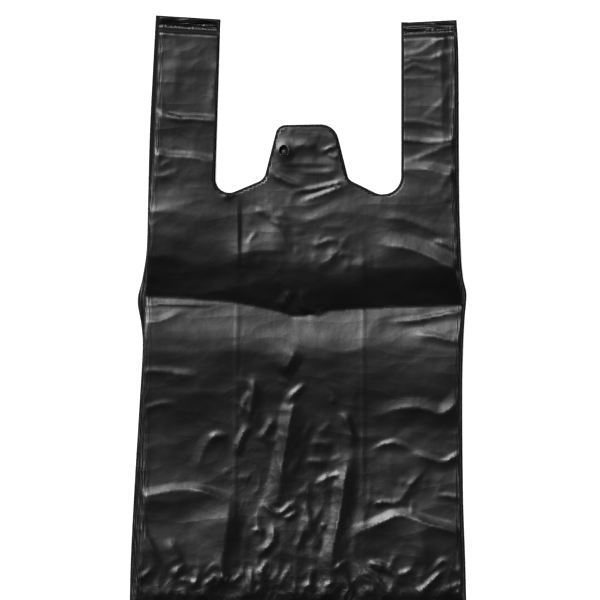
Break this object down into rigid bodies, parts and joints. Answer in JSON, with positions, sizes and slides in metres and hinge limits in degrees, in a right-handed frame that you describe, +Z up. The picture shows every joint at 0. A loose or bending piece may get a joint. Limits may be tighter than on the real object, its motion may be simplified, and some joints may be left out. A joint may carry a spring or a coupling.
{
  "type": "plastic carrier bag",
  "caption": "Flat gusseted carrier bag of thin black film with two loop handles, a tab between them, a welded bottom and old folds and creases; lies on its back.",
  "frame": {"origin": "middle of the bag's underside, on the surface that it lies on", "axes": "+X to the right seen from above with the handles away from the viewer, +Y from the bottom weld towards the handles, +Z up out of the front panel"},
  "size_m": [0.2952, 0.53, 0.0098],
  "materials": {
    "black_film": "black polythene film with a soft satin gloss, creased"
  },
  "bodies": {
    "root": {"carrier_bag": "black_film"}
  },
  "joints": []
}
